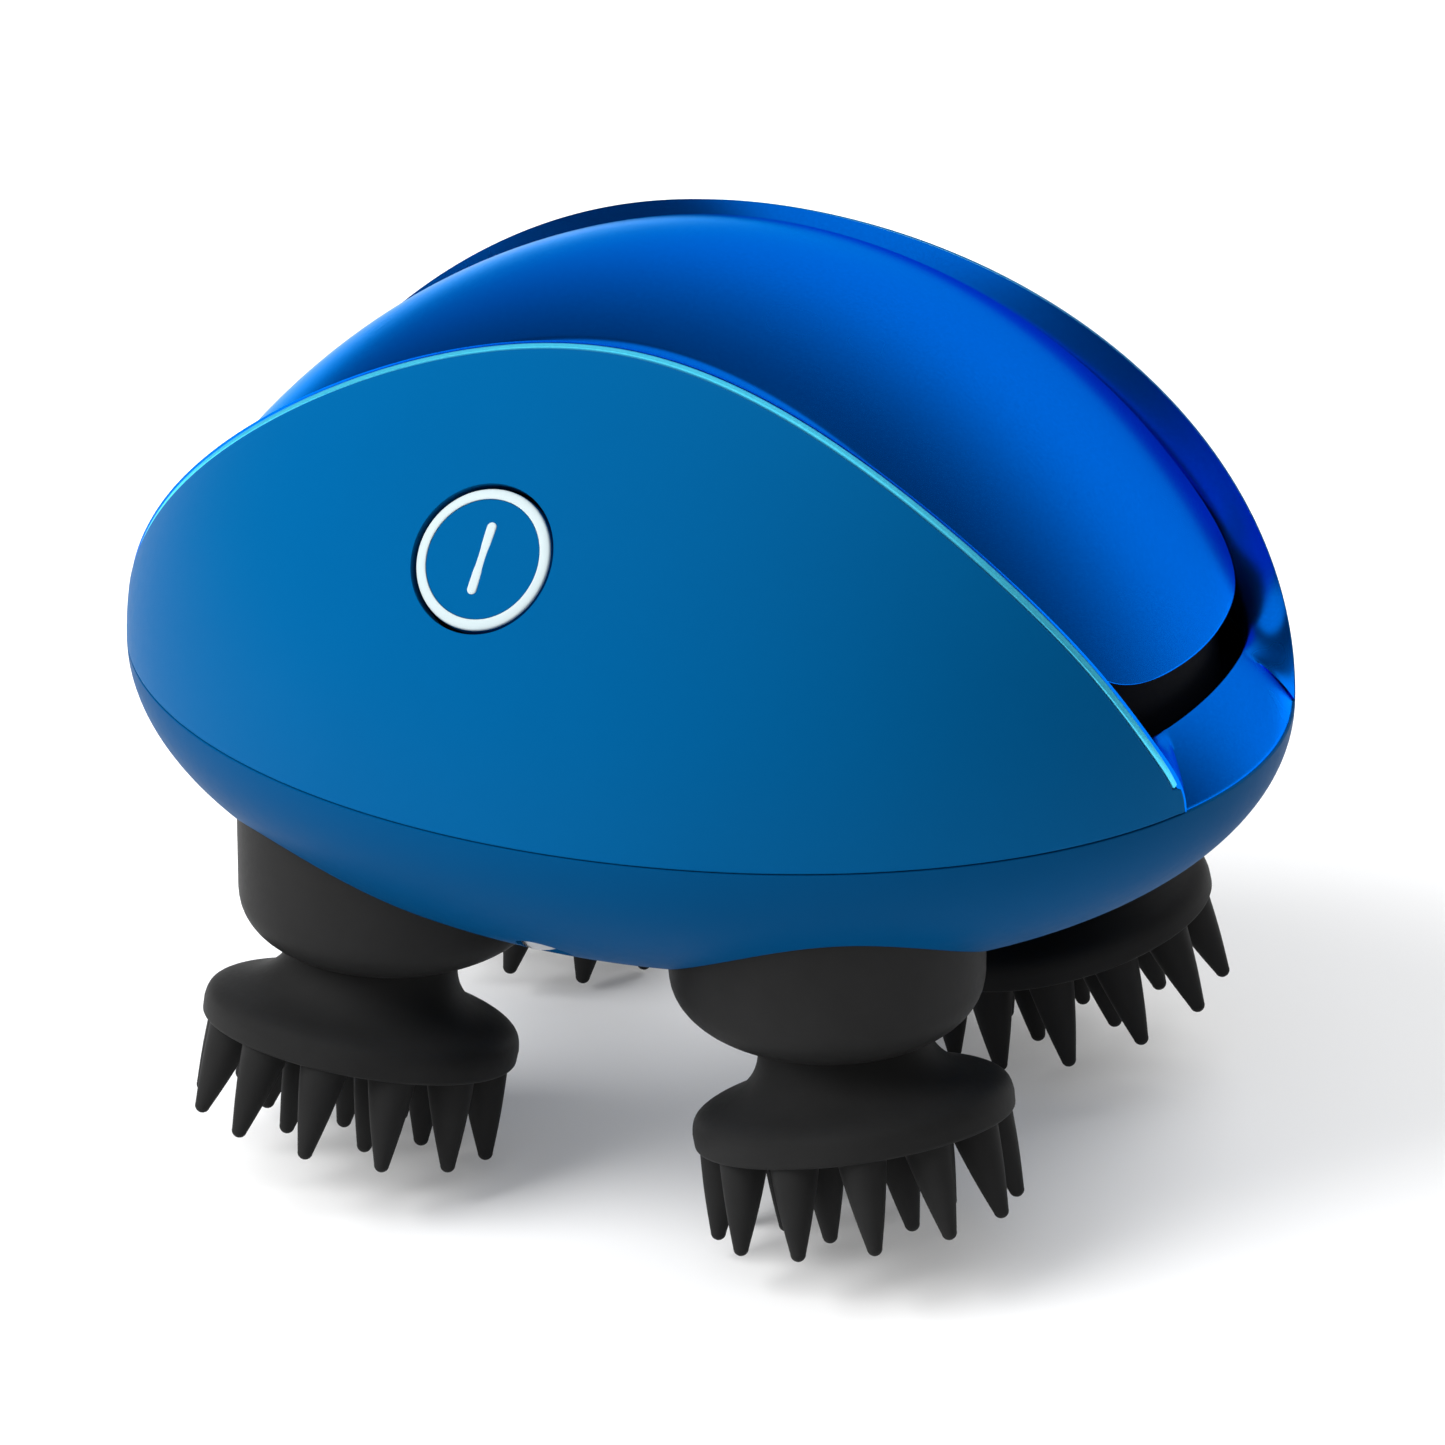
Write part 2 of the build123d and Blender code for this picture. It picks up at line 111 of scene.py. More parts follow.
def spline(points, samples=4000):
    """Dense points on the natural cubic spline through these, spaced by chord length."""
    p = np.array(points, float)
    t = np.concatenate([[0], np.cumsum(np.linalg.norm(np.diff(p, axis=0), axis=1))])
    h = np.diff(t)
    n = len(p)
    a = np.eye(n)
    rhs = np.zeros_like(p)
    for i in range(1, n - 1):
        a[i, i - 1:i + 2] = h[i - 1], 2 * (h[i - 1] + h[i]), h[i]
        rhs[i] = 6 * ((p[i + 1] - p[i]) / h[i] - (p[i] - p[i - 1]) / h[i - 1])
    m = np.linalg.solve(a, rhs)
    s = np.linspace(0, t[-1], samples)
    k = np.clip(np.searchsorted(t, s) - 1, 0, n - 2)
    u, v, w = (s - t[k])[:, None], (t[k + 1] - s)[:, None], h[k][:, None]
    return (m[k] * v**3 + m[k + 1] * u**3) / (6 * w) + (p[k] / w - m[k] * w / 6) * v + (
        p[k + 1] / w - m[k + 1] * w / 6) * u


edge_curve = spline([(-x, y) for x, y in reversed(COVER_EDGE[1:])] + COVER_EDGE)


def cover_edge(x):
    """Distance from the middle plane to the cover's upper edge, seen from above."""
    return np.interp(x, edge_curve[:, 0], edge_curve[:, 1])


def height(semi, x, y, power=0.5):
    """Height above the seam of an ellipsoid with these half axes."""
    return semi[2] * np.maximum(1 - (x / semi[0]) ** 2 - (y / semi[1]) ** 2, 0) ** power


def grip_height(x, y):
    return height(GRIP, x, y, GRIP_POWER)


def outward(semi, p):
    """Outward normal of an ellipsoid centred on the seam plane."""
    return unit((p - (0, 0, SEAM)) / np.asarray(semi) ** 2)


def between(semi, p, q, count):
    """Rows of points from p to q along an ellipsoid, as (count, n, 3)."""
    centre = np.array([0, 0, SEAM])
    u, v = unit((p - centre) / semi), unit((q - centre) / semi)
    angle = np.arccos(np.clip((u * v).sum(1), -1, 1))[:, None]
    rows = []
    for f in np.linspace(0, 1, count):
        a, b = np.sin((1 - f) * angle), np.sin(f * angle)
        w = np.where(angle > 1e-6, (a * u + b * v) / np.maximum(np.sin(angle), 1e-9), u)
        rows.append(unit(w) * semi + centre)
    return np.array(rows)


def mirrored(p, side):
    """side is 1 for the rear and -1 for the front."""
    return p * np.array([1, side, 1])


# ---------------------------------------------------------------- mesh making

def finish_mesh(name, bm, sharp=35):
    """Object from a bmesh in millimetres: welded, outward-facing, smooth but for its sharp edges."""
    bmesh.ops.remove_doubles(bm, verts=bm.verts, dist=1e-4)
    bmesh.ops.dissolve_degenerate(bm, edges=bm.edges, dist=1e-5)
    bmesh.ops.recalc_face_normals(bm, faces=bm.faces)
    bmesh.ops.scale(bm, vec=(MM, MM, MM), verts=bm.verts)
    for f in bm.faces:
        f.smooth = True
    for e in bm.edges:
        if len(e.link_faces) == 2 and e.calc_face_angle(0) > math.radians(sharp):
            e.smooth = False
    mesh = bpy.data.meshes.new(name)
    bm.to_mesh(mesh)
    bm.free()
    obj = bpy.data.objects.new(name, mesh)
    bpy.context.scene.collection.objects.link(obj)
    return obj


def lattice(bm, points, loop=False, ring=True, material=0):
    """Quads over points of shape (columns, around, 3).

    loop joins the last column to the first, and ring closes each column.
    """
    verts = [[bm.verts.new(p) for p in column] for column in points]
    columns, around = len(verts), len(verts[0])
    for i in range(columns if loop else columns - 1):
        a, b = verts[i], verts[(i + 1) % columns]
        for k in range(around if ring else around - 1):
            face = bm.faces.new((a[k], a[(k + 1) % around], b[(k + 1) % around], b[k]))
            face.material_index = material
    return verts


def revolve(bm, profile, segments, place=None):
    """Closed solid of revolution about Z from (radius, height) points that start and end on the axis."""
    angles = np.arange(segments) * 2 * math.pi / segments
    r, z = np.array(profile, float).T
    points = np.stack([r * np.cos(angles[:, None]), r * np.sin(angles[:, None]),
                       z + 0 * angles[:, None]], -1)
    verts = lattice(bm, points, loop=True, ring=False)
    if place is not None:
        bmesh.ops.transform(bm, matrix=place, verts=[v for column in verts for v in column])


def arc(cx, cy, r, start, end, count=8):
    """Points on an arc, with angles in degrees."""
    return [(cx + r * math.cos(math.radians(a)), cy + r * math.sin(math.radians(a)))
            for a in np.linspace(start, end, count)]


def boolean(obj, cutters, operation="DIFFERENCE"):
    """Cuts or joins other objects with obj, then deletes them."""
    for cutter in cutters:
        modifier = obj.modifiers.new("cut", "BOOLEAN")
        modifier.operation = operation
        modifier.solver = "EXACT"
        modifier.object = cutter
    graph = bpy.context.evaluated_depsgraph_get()
    mesh = bpy.data.meshes.new_from_object(obj.evaluated_get(graph))
    obj.modifiers.clear()
    obj.data = mesh
    for cutter in cutters:
        bpy.data.objects.remove(cutter)
    bm = bmesh.new()
    bm.from_mesh(mesh)
    for f in bm.faces:
        f.smooth = True
    for e in bm.edges:
        e.smooth = not (len(e.link_faces) == 2 and e.calc_face_angle(0) > math.radians(30))
    bm.to_mesh(mesh)
    bm.free()


def cutter_cylinder(radius, low, high, place, segments=96):
    bm = bmesh.new()
    revolve(bm, [(0, low), (radius, low), (radius, high), (0, high)], segments, place)
    return finish_mesh("cutter", bm)


# ---------------------------------------------------------------- covers and trim

def edge_points(count):
    """Points along the rear cover's upper edge, left to right, with outward and inward directions."""
    x = corner_x * np.sin(np.linspace(-math.pi / 2, math.pi / 2, count))
    y = cover_edge(x)
    p = np.stack([x, y, SEAM + height(BODY, x, y)], 1)
    n = outward(BODY, p)
    along = unit(np.gradient(p, axis=0))
    b = unit(np.cross(n, along))
    b *= -np.sign(b[:, 1:2])
    return p, n, b


def find_corner():
    """x where the cover's upper edge comes down to the seam."""
    x, y = edge_curve[edge_curve[:, 0] > 50].T
    inside = (x / BODY[0]) ** 2 + (y / BODY[1]) ** 2 < 1 - (SEAM_GAP / BODY[2]) ** 2
    return x[inside].max()


corner_x = find_corner()


def make_cover(name, side):
    """Matte side cover: an ellipsoid shell between the seam and its curved upper edge."""
    p, n, b = edge_points(241)
    rise = p[:, 2] - SEAM
    step = EDGE_STEP * (1 - smooth(TRIM_END - 0.5, TRIM_END, rise)) * smooth(0, 0.8, rise)
    p = p + b * step[:, None]
    x = p[:, 0]
    seam_y = BODY[1] * np.sqrt(np.maximum(1 - (x / BODY[0]) ** 2 - (SEAM_GAP / BODY[2]) ** 2, 0))
    seam = np.stack([x, np.maximum(seam_y, p[:, 1]), np.full_like(x, SEAM + SEAM_GAP)], 1)
    room = np.linalg.norm(p - seam, axis=1)[:, None]
    r = np.minimum(COVER_ROUND, 0.3 * room)
    up = unit(p - seam + (0, 0, 1e-6))
    n_seam = outward(BODY, seam)
    foot = [seam + r * 0.5 * up - n_seam * r * 0.5 + r * 0.5 * (math.sin(t) * n_seam - math.cos(t) * up)
            for t in np.linspace(0, math.pi / 2, 4)]
    skin = between(BODY, foot[-1], p - r * b, 56)
    lip = [p - r * b - r * n + r * (math.sin(t) * b + math.cos(t) * n)
           for t in np.linspace(0, math.pi / 2, 6)[1:]]
    thick = np.minimum(COVER_THICK, 0.9 * room + 0.2)
    inner_edge = p - thick * n
    inner_seam = seam - thick * n_seam
    inside = [inner_edge + (inner_seam - inner_edge) * f for f in np.linspace(0, 1, 9)]
    curved = between(BODY - COVER_THICK, inner_edge, inner_seam, 9)
    for k in range(1, 8):
        inside[k] = np.where(room > 6, curved[k], inside[k])
    profile = np.concatenate([np.array(foot[:-1]), skin, np.array(lip), np.array(inside)])
    bm = bmesh.new()
    lattice(bm, mirrored(profile.transpose(1, 0, 2), side))
    return finish_mesh(name, bm)


def make_trim(name, side):
    """Bright strip along the cover's upper edge, with a rounded inner edge."""
    p, n, b = edge_points(241)
    keep = p[:, 2] - SEAM > TRIM_END - 0.25
    p, n, b = p[keep], n[keep], b[keep]
    section = [(0.10, -0.48), (0.10, -0.34), (0.16, -0.18), (0.28, -0.12), (0.55, -0.16), (0.85, -0.24),
               (0.96, -0.29), (0.98, -0.34), (0.92, -0.42), (0.80, -0.48)]
    points = np.array([p + q * b + w * n for q, w in section]).transpose(1, 0, 2)
    bm = bmesh.new()
    verts = lattice(bm, mirrored(points, side))
    bm.faces.new(verts[0])
    bm.faces.new(verts[-1])
    return finish_mesh(name, bm, sharp=60)


# ---------------------------------------------------------------- upper housing and palm grip

def opening(x, end, drop, bow):
    """Half width of the frame's opening or of the grip, a drop in from the cover and bowed at its ends."""
    side = cover_edge(x) - drop
    across = np.sqrt(np.maximum(end - np.abs(x), 1e-7) / bow)
    return (side**-CORNER_TIGHT + across**-CORNER_TIGHT) ** (-1 / CORNER_TIGHT)


def make_upper_housing():
    """Glossy frame round the grip: rims along the covers, sloping end panels and an inner dome coloured
    near-black as painted shade for the slot.
    """
    p, n, b = edge_points(201)
    rim = p + RIM_IN * b - RIM_SINK * n
    past = np.maximum(np.abs(p[:, 0]) - CORNER_START, 0) / (corner_x - CORNER_START)
    x_in = p[:, 0] - np.sign(p[:, 0]) * (corner_x - CORNER_X) * past**2
    y_in = opening(x_in, PANEL_END, FRAME_DROP, END_BOW)
    h_in = grip_height(x_in, y_in) - 0.5
    h_in = h_in + (PANEL_TOP - h_in) * smooth(49.0, 56.0, np.abs(x_in))
    lip = np.stack([x_in, y_in, SEAM + h_in], 1)
    # the end panel, from the rear corner round to the front corner
    low_angle = math.atan2(p[-1, 1] / BODY[1], p[-1, 0] / BODY[0])
    angles = np.linspace(low_angle, -low_angle, 61)[1:-1]
    foot = np.stack([(BODY[0] - 0.28) * np.cos(angles), (BODY[1] - 0.28) * np.sin(angles),
                     np.full_like(angles, SEAM + 0.1)], 1)
    y_end = y_in[-1] * np.linspace(1, -1, 61)[1:-1]
    widths = np.linspace(CORNER_X, PANEL_END - 1e-4, 900)
    x_end = np.interp(-np.abs(y_end), -opening(widths, PANEL_END, FRAME_DROP, END_BOW), widths)
    top = np.stack([x_end, y_end, np.full_like(y_end, SEAM + PANEL_TOP)], 1)
    rear_out, rear_in = rim, lip
    front_out, front_in = mirrored(rim, -1)[::-1], mirrored(lip, -1)[::-1]
    turn = np.array([-1, -1, 1])
    outer = np.concatenate([rear_out, foot, front_out, foot * turn])
    inner = np.concatenate([rear_in, top, front_in, top * turn])
    for _ in range(6):
        inner = (np.roll(inner, 1, 0) + 2 * inner + np.roll(inner, -1, 0)) / 4
    lift = outward(BODY, (outer + inner) / 2)
    bulge = 0.25 + 0.6 * smooth(45, 58, np.abs(inner[:, 0]))[:, None]
    rows = []
    for f in np.linspace(0, 1, 22):
        rows.append(outer + (inner - outer) * f + lift * bulge * 4 * f * (1 - f) * 0.6)
    inward = unit(inner - outer)
    for a in np.linspace(20, 90, 5):
        s, c = math.sin(math.radians(a)), 1 - math.cos(math.radians(a))
        rows.append(inner + LIP_R * s * inward + LIP_R * c * np.array([0, 0, -1.0]))
    rows.append(rows[-1] + np.array([0, 0, -2.2]))
    rows.append(outer - (0, 0, 1.3))
    bm = bmesh.new()
    points = np.array(rows).transpose(1, 0, 2)
    lattice(bm, points, loop=True)
    # the inner dome takes the second material, near-black: painted shade standing for the deep shadow in
    # the slot
    dome = []
    for f in np.linspace(0, 0.999, 40):
        h = math.sin(f * math.pi / 2)
        a = np.linspace(0, 2 * math.pi, 121)[:-1]
        k = math.cos(f * math.pi / 2)
        dome.append(np.stack([DOME[0] * k * np.cos(a), DOME[1] * k * np.sin(a),
                              SEAM + 0.2 + DOME[2] * h + 0 * a], 1))
    verts = lattice(bm, np.array(dome), material=1)
    bm.faces.new(verts[0]).material_index = 1
    bm.faces.new(verts[-1]).material_index = 1
    return finish_mesh("upper_housing_shell", bm)


def make_grip():
    """Glossy convex cap between the covers, rounded over at its edge."""
    t = np.linspace(-1, 1, 181)
    x = (GRIP_END - 1e-4) * np.sin(t * math.pi / 2)
    half = opening(x, GRIP_END, GRIP_DROP, GRIP_BOW)
    v = np.sin(np.linspace(-1, 1, 81) * math.pi / 2)
    columns = []
    for xi, wi in zip(x, half):
        y = wi * v
        columns.append(np.stack([np.full_like(y, xi), y, SEAM + grip_height(xi, y)], 1))
    top = np.array(columns)
    n = outward(GRIP, top)
    to_side = (1 - np.abs(v))[None, :] * half[:, None]
    to_end = GRIP_END - GRIP_BOW * top[..., 1] ** 2 - np.abs(top[..., 0])
    edge = np.maximum(np.minimum(to_side, to_end), 0)
    r = 0.12 + 1.2 * (1 - smooth(42, 51, np.abs(top[..., 0])))
    sink = r - np.sqrt(np.maximum(r * r - np.maximum(r - edge, 0) ** 2, 0))
    top = top - n * sink[..., None]
    under = (top - n * 0.9) * (0.985, 0.97, 1)
    bm = bmesh.new()
    upper = lattice(bm, top, ring=False)
    lower = lattice(bm, under, ring=False)
    rim = [upper[i][0] for i in range(len(x))] + [upper[-1][k] for k in range(1, 81)]
    rim += [upper[i][-1] for i in range(len(x) - 2, -1, -1)] + [upper[0][k] for k in range(79, 0, -1)]
    base = [lower[i][0] for i in range(len(x))] + [lower[-1][k] for k in range(1, 81)]
    base += [lower[i][-1] for i in range(len(x) - 2, -1, -1)] + [lower[0][k] for k in range(79, 0, -1)]
    for i in range(len(rim)):
        j = (i + 1) % len(rim)
        bm.faces.new((rim[i], rim[j], base[j], base[i]))
    return finish_mesh("palm_grip_cap", bm, sharp=50)


# ---------------------------------------------------------------- lower housing

def screw_spots():
    """Axes of the four housing screws."""
    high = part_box("housing_screws")[1]
    reach_x, reach_y = high.x / MM - SCREW_R, high.y / MM - SCREW_R
    return (reach_x, 0), (-reach_x, 0), (0, reach_y), (0, -reach_y)


def make_bowl():
    angles = np.arange(240) * 2 * math.pi / 240
    ring = np.stack([np.cos(angles), np.sin(angles), 0 * angles], 1)
    flat_turn = math.asin(BOWL_FLAT / BOWL_DEPTH)
    centre = np.array([0, 0, SEAM])
    rows = []
    rows.append(centre + ring * (BODY - BOWL_THICK) * (1, 1, 0) + (0, 0, -0.02))
    for a in np.linspace(0, 90, 5):
        c, s = math.cos(math.radians(a)), math.sin(math.radians(a))
        rows.append(centre + ring * (BODY - 0.12 + 0.12 * s) * (1, 1, 0) + (0, 0, -0.12 + 0.12 * c))
    for t in np.linspace(0.008, flat_turn - 0.04, 60):
        rows.append(centre + ring * BODY * math.cos(t) * (1, 1, 0) + (0, 0, -BOWL_DEPTH * math.sin(t)))
    flat_scale = math.cos(flat_turn)
    for f in (0.992, 0.97, 0.94, 0.8, 0.5, 0.2, 0.0005):
        rows.append(centre + ring * BODY * flat_scale * f * (1, 1, 0) + (0, 0, -BOWL_FLAT))
    for f in (0.0005, 0.5, 0.93):
        rows.append(centre + ring * BODY * flat_scale * f * (1, 1, 0) + (0, 0, -BOWL_FLAT + 2.2))
    for t in np.linspace(flat_turn - 0.05, 0.1, 14):
        rows.append(centre + ring * (BODY - BOWL_THICK) * math.cos(t) * (1, 1, 0)
                    - (0, 0, (BOWL_DEPTH - BOWL_THICK) * math.sin(t)))
    bm = bmesh.new()
    lattice(bm, np.array(rows).transpose(1, 0, 2), loop=True)
    bowl = finish_mesh("lower_bowl", bm)
    cutters = []
    for corner in LEAN:
        x, y = head_axis(corner)
        cutters.append(cutter_cylinder(POCKET_R, 10, 60, Matrix.Translation((x, y, 0)), 128))
    for x, y in screw_spots():
        cutters.append(cutter_cylinder(SCREW_HOLE_R, 10, 60, Matrix.Translation((x, y, 0)), 48))
    boolean(bowl, cutters)
    return bowl


def make_pockets():
    """Walls and ceilings of the four round pockets that the heads turn in."""
    bm = bmesh.new()
    for corner in LEAN:
        x, y = head_axis(corner)
        outer_r, ceiling = POCKET_R + 1.5, POCKET_TOP + 1.6
        profile = [(3.0, ceiling), (outer_r, ceiling), (outer_r, POCKET_FOOT), (POCKET_R, POCKET_FOOT),
                   (POCKET_R, POCKET_TOP), (3.0, POCKET_TOP)]
        angles = np.arange(96) * 2 * math.pi / 96
        r, z = np.array(profile, float).T
        points = np.stack([x + r * np.cos(angles[:, None]), y + r * np.sin(angles[:, None]),
                           z + 0 * angles[:, None]], -1)
        shape = 1 - (points[..., 0] / (BODY[0] - 0.6)) ** 2 - (points[..., 1] / (BODY[1] - 0.6)) ** 2
        floor = SEAM - (BOWL_DEPTH - 0.6) * np.sqrt(np.maximum(shape, 0))
        points[..., 2] = np.maximum(points[..., 2], np.maximum(floor, SEAM - BOWL_FLAT + 0.3))
        points[:, 1, 2] = np.maximum(points[:, 1, 2], points[:, 2, 2] + 0.3)
        points[:, 4, 2] = np.maximum(points[:, 4, 2], points[:, 3, 2] + 0.2)
        lattice(bm, points, loop=True)
    return finish_mesh("head_pockets", bm)


# ---------------------------------------------------------------- power button

button_y = -BODY[1] * math.sqrt(1 - (BUTTON_AT[0] / BODY[0]) ** 2 - (BUTTON_AT[1] / BODY[2]) ** 2)
button_at = np.array([BUTTON_AT[0], button_y, SEAM + BUTTON_AT[1]])
button_out = outward(BODY, button_at)
button_side = unit(np.cross((0, 0, 1.0), button_out))
button_side = button_side * np.sign(button_side[0])
button_up = unit(np.cross(button_out, button_side))
button_up = button_up * np.sign(button_up[2])


def drape(u, v, depth):
    """Point at (u, v) across the button's axis, a depth below the body's surface."""
    u, v = np.asarray(u, float), np.asarray(v, float)
    semi = BODY - depth
    base = button_at - (0, 0, SEAM) + u[..., None] * button_side + v[..., None] * button_up
    a = ((button_out / semi) ** 2).sum()
    b = 2 * (base * button_out / semi**2).sum(-1)
    c = ((base / semi) ** 2).sum(-1) - 1
    w = (-b + np.sqrt(np.maximum(b * b - 4 * a * c, 0))) / (2 * a)
    return base + w[..., None] * button_out + (0, 0, SEAM)


def draped_ring(bm, loops, closed):
    """Lattice from (outline, depth) loops, where an outline is (n, 2) points across the button."""
    points = np.array([drape(o[:, 0], o[:, 1], d) for o, d in loops])
    lattice(bm, points.transpose(1, 0, 2), loop=True, ring=closed)


def circle(r, count=96):
    a = np.arange(count) * 2 * math.pi / count
    return np.stack([r * np.cos(a), r * np.sin(a)], 1)


def pill(half_long, r, count=64):
    """Upright pill outline: a straight stretch between two half circles."""
    a = np.linspace(0, math.pi, count // 2)
    top = np.stack([r * np.cos(a), half_long - r + r * np.sin(a)], 1)
    return np.concatenate([top, -top])


def make_button():
    loops = [(circle(r), BUTTON_RECESS) for r in (0.001, 1, 2, 3, 4, 5, 6, 6.2)]
    loops += [(circle(6.24), BUTTON_RECESS + 0.12), (circle(7.0), BUTTON_RECESS + 0.15)]
    loops += [(circle(BUTTON_R - 0.12), BUTTON_RECESS + 0.18), (circle(BUTTON_R), BUTTON_RECESS + 0.32),
              (circle(BUTTON_R), 2.0), (circle(3.0), 2.0), (circle(2.9), 3.4), (circle(0.001), 3.4)]
    bm = bmesh.new()
    draped_ring(bm, loops, False)
    return finish_mesh("power_button_cap", bm)


def make_button_ring():
    section = [(6.27, 0.5), (6.27, 0.31), (6.33, 0.26), (6.45, 0.24), (6.8, 0.235), (7.12, 0.25),
               (7.26, 0.29), (7.34, 0.38), (7.36, 0.5)]
    bm = bmesh.new()
    draped_ring(bm, [(circle(r, 144), d) for r, d in section], True)
    return finish_mesh("power_mark_ring", bm, sharp=50)


def make_button_bar():
    loops = [(pill(3.8, 0.52), 0.6), (pill(3.8, 0.52), 0.31), (pill(3.76, 0.47), 0.26),
             (pill(3.66, 0.38), 0.235), (pill(3.4, 0.2), 0.225), (pill(3.2, 0.01), 0.225)]
    bm = bmesh.new()
    draped_ring(bm, loops, False)
    bmesh.ops.holes_fill(bm, edges=bm.edges, sides=0)
    return finish_mesh("power_mark_bar", bm, sharp=50)


# ---------------------------------------------------------------- heads

def head_axis(corner):
    low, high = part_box(f"head_boss_{corner}")
    return (low.x + high.x) / 2 / MM, (low.y + high.y) / 2 / MM


FLARE = 0.42                               # fillet round the root of each nub
ROOT_RING = 13.55
TIP_RING = 15.45
TIP_R = 0.8
TIP_DEPTH = 30.85
DISC_LOW = 20.8
DISC_R = 16.6
PIVOT_Z = TIP_R + (TIP_DEPTH - TIP_R) * math.cos(TILT) + TIP_RING * math.sin(TILT)


def nub_profile(base_r, length):
    """One cone nub, tip down from its root, with a soft fillet at the root."""
    drop = length - TIP_R
    points = [(0, 0.5), (base_r + FLARE, 0.5), (base_r + FLARE, 0.02)]
    for f in np.linspace(0, 1, 6)[1:]:
        points.append((base_r + FLARE * (1 - f) ** 2 - 0.18 * f, -0.95 * f * f - 0.05 * f))
    for f in np.linspace(0.15, 1, 7):
        z = -1.0 - (drop - 1.0) * f
        r = base_r - 0.18 + (TIP_R - base_r + 0.18) * f
        points.append((r + 0.10 * math.sin(math.pi * f), z))
    for a in np.linspace(0, 90, 7)[1:]:
        points.append((TIP_R * math.cos(math.radians(a)), -drop - TIP_R * math.sin(math.radians(a))))
    points[-1] = (0, points[-1][1])
    return points


def make_head_mesh():
    """Silicone head about its own axis, with the pivot at the origin and -Z towards the disc."""
    flare = spline([(8.6, -8.2), (8.7, -11.2), (9.3, -13.4), (10.9, -15.3), (13.2, -16.5), (15.2, -17.2),
                    (16.25, -18.0), (DISC_R, -19.3)], 40)
    profile = [(0, -8.2)] + [tuple(p) for p in flare]
    profile += [(DISC_R - 0.05, -DISC_LOW + 0.45)]
    profile += arc(DISC_R - 0.45, -DISC_LOW + 0.4, 0.4, 0, -90, 5)
    profile += [(14.0, -DISC_LOW), (10, -DISC_LOW), (5, -DISC_LOW), (0, -DISC_LOW)]
    bm = bmesh.new()
    revolve(bm, profile, 144)
    head = finish_mesh("head_base", bm)
    nubs = bmesh.new()
    length = TIP_DEPTH - DISC_LOW
    for ring_r, count, base_r in ((ROOT_RING, 12, 2.6), (7.4, 6, 2.5), (0, 1, 2.5)):
        lean = math.atan2(TIP_RING - ROOT_RING, length - TIP_R) * ring_r / ROOT_RING
        for i in range(count):
            place = (Matrix.Rotation(2 * math.pi * i / count, 4, "Z")
                     @ Matrix.Translation((ring_r, 0, -DISC_LOW)) @ Matrix.Rotation(-lean, 4, "Y"))
            revolve(nubs, nub_profile(base_r, length), 28, place)
    boolean(head, [finish_mesh("nubs", nubs)], "UNION")
    mesh = head.data
    bpy.data.objects.remove(head)
    return mesh


def head_place(corner):
    x, y = head_axis(corner)
    lean = math.radians(LEAN[corner])
    pivot = Matrix.Translation((x * MM, y * MM, PIVOT_Z * MM))
    return pivot @ Matrix.Rotation(lean, 4, "Z") @ Matrix.Rotation(-TILT, 4, "Y")


def make_boss(corner):
    x, y = head_axis(corner)
    profile = [(0, 40.2), (BOSS_R - 0.4, 40.2), (BOSS_R, 39.8), (BOSS_R, 33.0), (BOSS_R, 29.6)]
    bottom = spline([(BOSS_R, 29.6), (16.05, 28.4), (15.4, 26.9), (14.2, 25.6), (12.6, 24.6),
                     (10.0, 23.7), (5.5, 22.95), (0, BOSS_BOTTOM)], 30)[1:]
    profile += [tuple(p) for p in bottom]
    profile[-1] = (0, BOSS_BOTTOM)
    bm = bmesh.new()
    revolve(bm, profile, 128, Matrix.Translation((x, y, 0)))
    return finish_mesh(f"drive_cup_{corner}", bm)


# ---------------------------------------------------------------- charging stopper and screws

def port_outline(half_w, half_h):
    """Oval round the charging port, as x and z."""
    a = np.linspace(-math.pi / 2, math.pi / 2, 24)
    right = np.stack([half_w - half_h + half_h * np.cos(a), half_h * np.sin(a)], 1)
    return (np.concatenate([right, -right]) + (PORT_AT[0], SEAM + PORT_AT[1])).T


def make_port_cutter():
    """Straight oval bar that cuts the stopper's hole through the rear cover."""
    x, z = port_outline(*PORT_HOLE)
    bm = bmesh.new()
    bars = np.array([[(a, 40, b), (a, 56, b)] for a, b in zip(x, z)])
    verts = lattice(bm, bars, loop=True, ring=False)
    bm.faces.new([column[0] for column in verts])
    bm.faces.new([column[1] for column in verts])
    return finish_mesh("port_cutter", bm)


def make_stopper():
    """Rubber stopper of the charging socket: an oval cap that follows the rear cover."""
    def loop(half_w, half_h, depth):
        x, z = port_outline(half_w, half_h)
        semi = BODY - depth
        y = semi[1] * np.sqrt(1 - (x / semi[0]) ** 2 - ((z - SEAM) / semi[2]) ** 2)
        return np.stack([x, y, z], 1)

    rows = [loop(2.7, 0.02, 0.02), loop(3.5, 1.0, 0.02), loop(4.4, 1.9, 0.04), loop(4.85, 2.35, 0.12),
            loop(5.0, 2.5, 0.3), loop(5.05, 2.55, 2.2), loop(4.0, 1.3, 2.25), loop(4.0, 1.3, 4.0),
            loop(2.7, 0.02, 4.0)]
    bm = bmesh.new()
    lattice(bm, np.array(rows).transpose(1, 0, 2), loop=True, ring=False)
    return finish_mesh("socket_stopper", bm)


